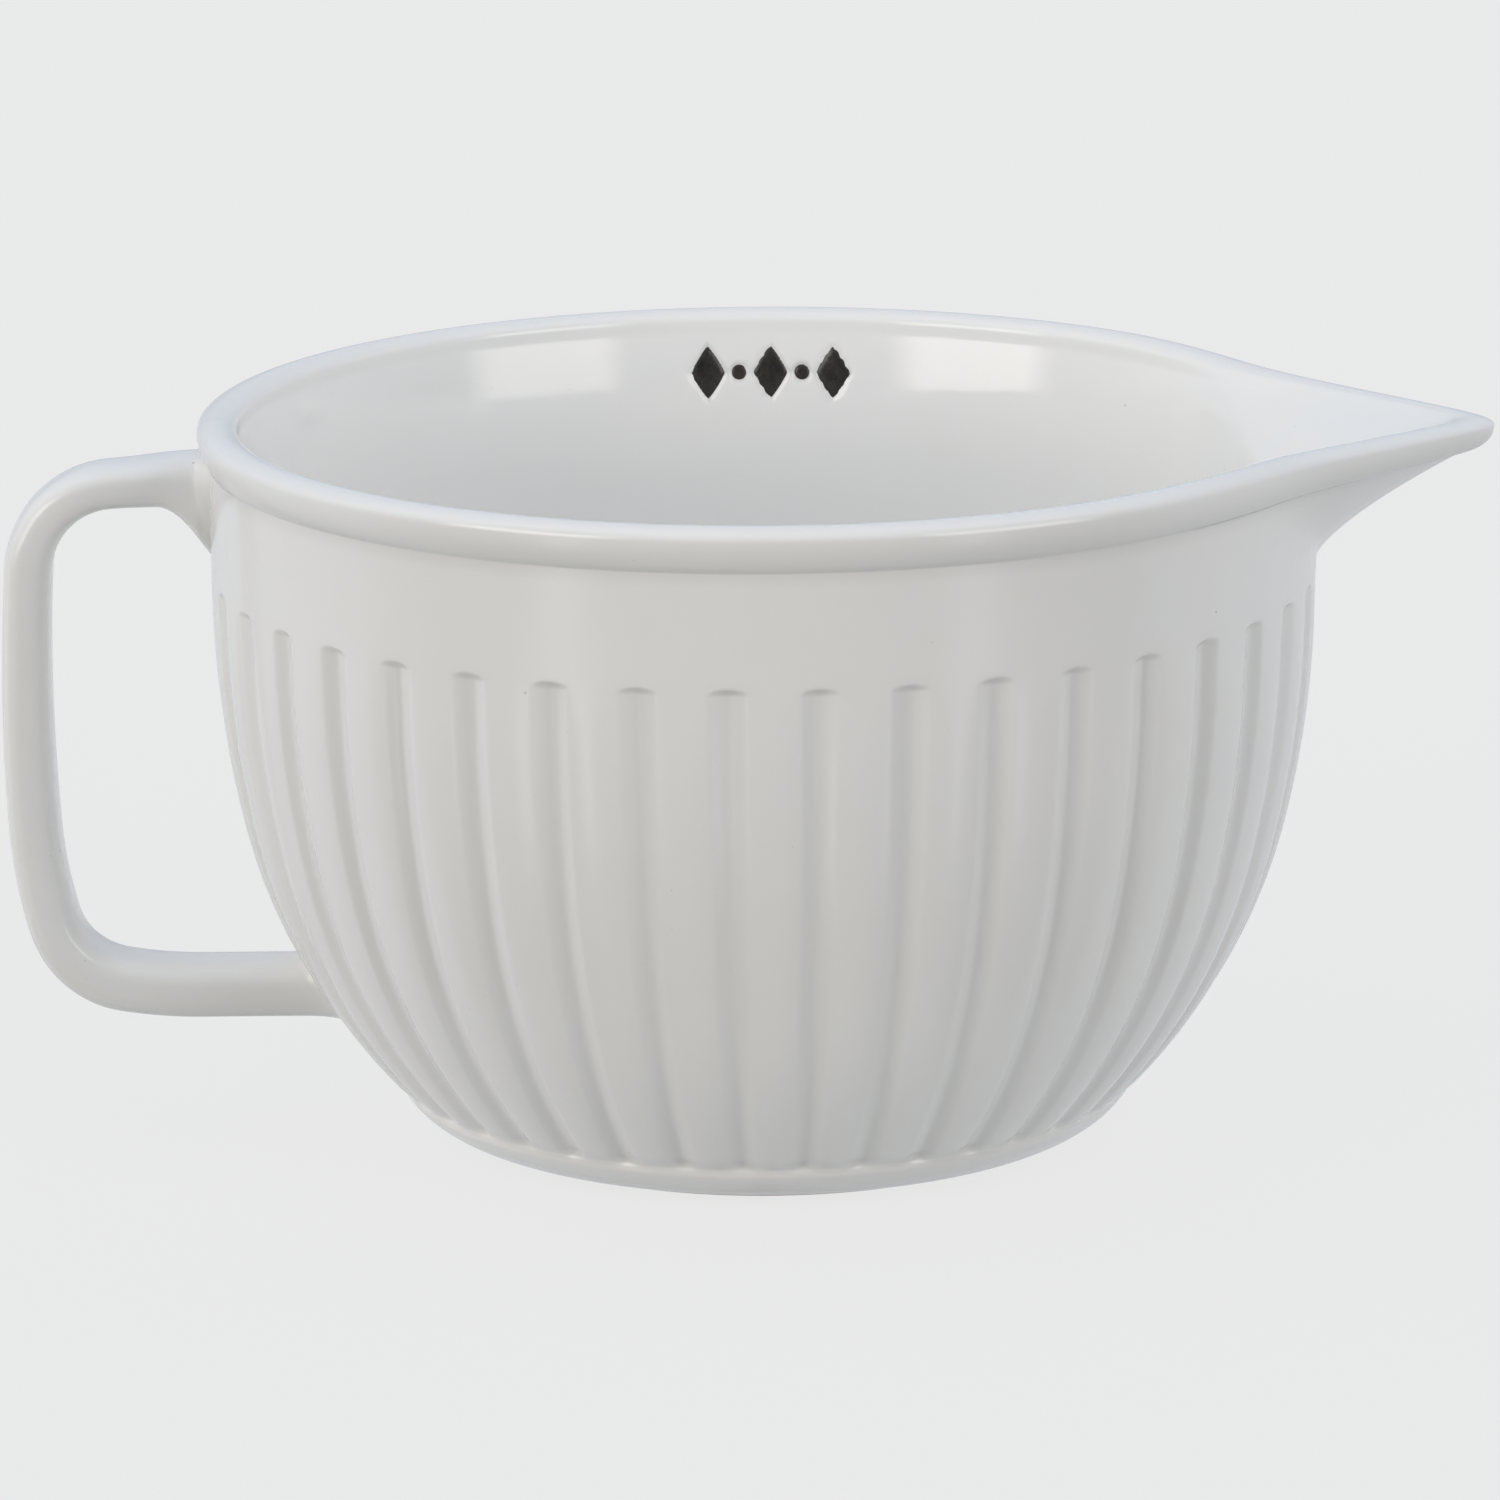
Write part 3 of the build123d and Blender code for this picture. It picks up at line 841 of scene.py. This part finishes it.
def white_glaze():
    """Glossy off-white glaze, greyer where it pools and with painted shade under the rim's bead, that
    thins to toasted clay above the foot.
    """
    material, tree, shader = new_look("white_glaze")
    colour = blend(tree, cloud(tree, 55), WARM_WHITE, COOL_WHITE)
    colour = blend(tree, rescale(tree, cloud(tree, 9), 0, 1, 0, 0.35), colour, CREAM)
    # the attribute greys pooled glaze in flutes and stamps and paints shade under the rim's bead
    pool_and_shade = tree.nodes.new("ShaderNodeAttribute")
    pool_and_shade.attribute_name = "glaze_pool_and_shade"
    pooled_and_shaded = rescale(tree, pool_and_shade.outputs["Fac"], 0, 1, 0, POOLED_AND_SHADED_SHARE)
    colour = blend(tree, pooled_and_shaded, colour, POOLED_AND_SHADED_GREY)
    colour = blend(tree, specks(tree, 9, 0.35, 0.12), colour, LARGE_SPECK)
    colour = blend(tree, specks(tree, 3.1, 0.16, 0.1), colour, SMALL_SPECK)
    height = tree.nodes.new("ShaderNodeSeparateXYZ")
    tree.links.new(object_place(tree), height.inputs["Vector"])
    bare = rescale(tree, height.outputs["Z"], (GLAZE_LINE + TOASTED_HEIGHT) * MM, GLAZE_LINE * MM)
    bare = combine(tree, "POWER", bare, TOASTED_CURVE)
    bare = combine(tree, "MULTIPLY", bare, rescale(tree, cloud(tree, 6), 0, 1, 0.6, 1))
    colour = blend(tree, bare, colour, TOASTED)
    tree.links.new(colour, shader.inputs["Base Color"])
    tree.links.new(rescale(tree, cloud(tree, 16), 0, 1, 0.05, 0.10), shader.inputs["Roughness"])
    roughen(tree, shader, (cloud(tree, 28, 1), 0.07), (cloud(tree, 4.5, 1), 0.012))
    return material


DARK_CLAY = (0.420, 0.320, 0.225)
LIGHT_CLAY = (0.500, 0.400, 0.300)
CLAY_GRAIN = (0.360, 0.275, 0.195)
CLAY_PIT = (0.160, 0.115, 0.080)


def bare_stoneware():
    """Unglazed fired clay: warm, grainy and rough."""
    material, tree, shader = new_look("bare_stoneware")
    colour = blend(tree, cloud(tree, 12), DARK_CLAY, LIGHT_CLAY)
    colour = blend(tree, cloud(tree, 1.2), colour, CLAY_GRAIN)
    colour = blend(tree, specks(tree, 1.6, 0.4, 0.25), colour, CLAY_PIT)
    tree.links.new(colour, shader.inputs["Base Color"])
    tree.links.new(rescale(tree, cloud(tree, 3), 0, 1, 0.70, 0.92), shader.inputs["Roughness"])
    roughen(tree, shader, (cloud(tree, 0.9), 0.10), (specks(tree, 1.1, 0.5, 0.5), 0.06))
    return material


STAIN_BLACK = (0.010, 0.009, 0.008)
STAIN_BROWN = (0.032, 0.024, 0.018)


def dark_stain():
    """Near-black stain under clear glaze, browner in places."""
    material, tree, shader = new_look("dark_stain")
    colour = blend(tree, cloud(tree, 2.2), STAIN_BLACK, STAIN_BROWN)
    tree.links.new(colour, shader.inputs["Base Color"])
    tree.links.new(rescale(tree, cloud(tree, 3), 0, 1, 0.22, 0.40), shader.inputs["Roughness"])
    roughen(tree, shader, (cloud(tree, 1.5), 0.03))
    return material


# ---------------------------------------------------------------- floor, light and camera

CAMERA_DISTANCE = 1.570  # metres from the aim
CAMERA_ELEVATION = radians(13.9)
CAMERA_AZIMUTH = radians(-0.84)
CAMERA_ROLL = radians(-0.322)
CAMERA_LENS = 197.3
AIM = Vector((-2.79, 0, 71.44)) * MM  # the middle of the view, before the camera turns to its azimuth


def add_camera():
    """The camera at the photograph's viewing angle."""
    camera = bpy.data.cameras.new("camera")
    camera.lens = CAMERA_LENS
    camera.clip_end = 100
    seen_from = bpy.data.objects.new("camera", camera)
    bpy.context.scene.collection.objects.link(seen_from)
    back = Vector((0, -cos(CAMERA_ELEVATION), sin(CAMERA_ELEVATION)))
    turn = Matrix.Rotation(CAMERA_AZIMUTH, 3, "Z")
    seen_from.location = turn @ (AIM + CAMERA_DISTANCE * back)
    level = (turn @ -back).to_track_quat("-Z", "Y").to_matrix()
    seen_from.rotation_euler = (level @ Matrix.Rotation(CAMERA_ROLL, 3, "Z")).to_euler()
    bpy.context.scene.camera = seen_from


BACKDROP = 0.831  # the brightness that the camera sees where there is nothing but the pale room
FLOOR_GLOW = 0.77  # the part of the floor's brightness that no shadow takes away
FLOOR_TINT = 0.06  # grey of the floor's surface
FLOOR_REACH = 20.0  # metres from its middle to its edge

# The soft panels that light the object. Each has a turn to the right from the front and a height in
# degrees, half its width, half its height, how far its edges fade, and its colour.
STUDIO = (
    ("ceiling", 0, 90, 180, 30, 15, (0.67, 0.76, 0.88)),
    ("back wall", 180, 30, 90, 32, 20, (0.63, 0.68, 0.77)),
    ("left wall", -90, 30, 24, 32, 12, (0.55, 0.56, 0.57)),
    ("right wall", 90, 30, 24, 32, 12, (0.12, 0.12, 0.12)),
    ("left box", -50, 17, 17, 18, 5, (3.90, 3.66, 3.38)),
    ("right box", 50, 17, 17, 18, 5, (3.30, 3.17, 3.03)),
    ("high front", 0, 42, 36, 18, 12, (0.57, 0.62, 0.66)),
    ("left strip", -43, -18, 5, 13, 6, (1.15, 1.10, 1.02)),
    ("right strip", 43, -18, 5, 13, 6, (0.85, 0.87, 0.92)),
    ("low front", 0, 8, 34, 16, 12, (0.10, 0.13, 0.19)),
    ("far table behind", 180, -28, 95, 24, 12, (0.62, 0.64, 0.67)),
    ("far table before", 0, -28, 85, 24, 12, (0.07, 0.07, 0.06)),
    ("near table", 0, -90, 180, 38, 12, (0.67, 0.70, 0.72)),
)


def add_floor():
    """The pale floor, which neither lights the object nor shows in its glaze."""
    mesh = bpy.data.meshes.new("floor")
    corners = [(across, along, 0) for across, along in ((-1, -1), (1, -1), (1, 1), (-1, 1))]
    mesh.from_pydata([Vector(corner) * FLOOR_REACH for corner in corners], [], [(0, 1, 2, 3)])
    floor = bpy.data.objects.new("floor", mesh)
    bpy.context.scene.collection.objects.link(floor)
    material, tree, shader = new_look("floor")
    shader.inputs["Base Color"].default_value = (FLOOR_TINT, FLOOR_TINT, FLOOR_TINT, 1)
    shader.inputs["Roughness"].default_value = 1
    shader.inputs["Specular IOR Level"].default_value = 0
    shader.inputs["Emission Color"].default_value = (1, 1, 1, 1)
    shader.inputs["Emission Strength"].default_value = FLOOR_GLOW
    mesh.materials.append(material)
    floor.visible_diffuse = False
    floor.visible_glossy = False
    floor.visible_shadow = False


def window(tree, angle, centre, half_width, softness):
    """1 where an angle is near a centre and 0 far from it, with a soft edge."""
    off_centre = combine(tree, "ABSOLUTE", combine(tree, "SUBTRACT", angle, radians(centre)), 0)
    inner, outer = radians(half_width - softness), radians(half_width + softness)
    share = rescale(tree, off_centre, inner, outer, 1, 0)
    share.node.interpolation_type = "SMOOTHSTEP"
    return share


def panel_light(tree, direction, rise, panel):
    """The light that one panel of the studio sends from a direction."""
    name, turn, height, half_width, half_height, softness, colour = panel
    swing = tree.nodes.new("ShaderNodeVectorRotate")
    swing.rotation_type = "Z_AXIS"
    swing.inputs["Angle"].default_value = -radians(turn)
    tree.links.new(direction, swing.inputs["Vector"])
    swung = tree.nodes.new("ShaderNodeSeparateXYZ")
    tree.links.new(swing.outputs["Vector"], swung.inputs["Vector"])
    forward = combine(tree, "MULTIPLY", swung.outputs["Y"], -1)
    sideways = combine(tree, "ARCTAN2", swung.outputs["X"], forward)
    across = window(tree, sideways, 0, half_width, softness)
    along = window(tree, rise, height, half_height, softness)
    light = tree.nodes.new("ShaderNodeVectorMath")
    light.label = name
    light.operation = "SCALE"
    light.inputs[0].default_value = colour
    tree.links.new(combine(tree, "MULTIPLY", across, along), light.inputs["Scale"])
    return light.outputs["Vector"]


def set_world():
    """A pale studio whose soft panels fill the world, with an even backdrop for the camera."""
    world = bpy.data.worlds.new("studio")
    bpy.context.scene.world = world
    world.use_nodes = True
    tree = world.node_tree
    direction = tree.nodes.new("ShaderNodeTexCoord").outputs["Generated"]
    parts = tree.nodes.new("ShaderNodeSeparateXYZ")
    tree.links.new(direction, parts.inputs["Vector"])
    rise = tree.nodes.new("ShaderNodeMath")
    rise.operation = "ARCSINE"
    tree.links.new(parts.outputs["Z"], rise.inputs[0])
    total, *others = [panel_light(tree, direction, rise.outputs["Value"], panel) for panel in STUDIO]
    for light in others:
        joined = tree.nodes.new("ShaderNodeVectorMath")
        tree.links.new(total, joined.inputs[0])
        tree.links.new(light, joined.inputs[1])
        total = joined.outputs["Vector"]
    seen = tree.nodes.new("ShaderNodeLightPath").outputs["Is Camera Ray"]
    shown = blend(tree, seen, total, (BACKDROP, BACKDROP, BACKDROP))
    tree.links.new(shown, tree.nodes["Background"].inputs["Color"])


bpy.context.scene.view_settings.view_transform = "Standard"
glaze = white_glaze()
stain = dark_stain()
build_bowl(glaze)
build_foot(bare_stoneware())
build_handle(glaze)
for number, (middle, shape) in enumerate(MARKS, start=1):
    build_mark(number, middle, shape, stain)
add_floor()
set_world()
add_camera()
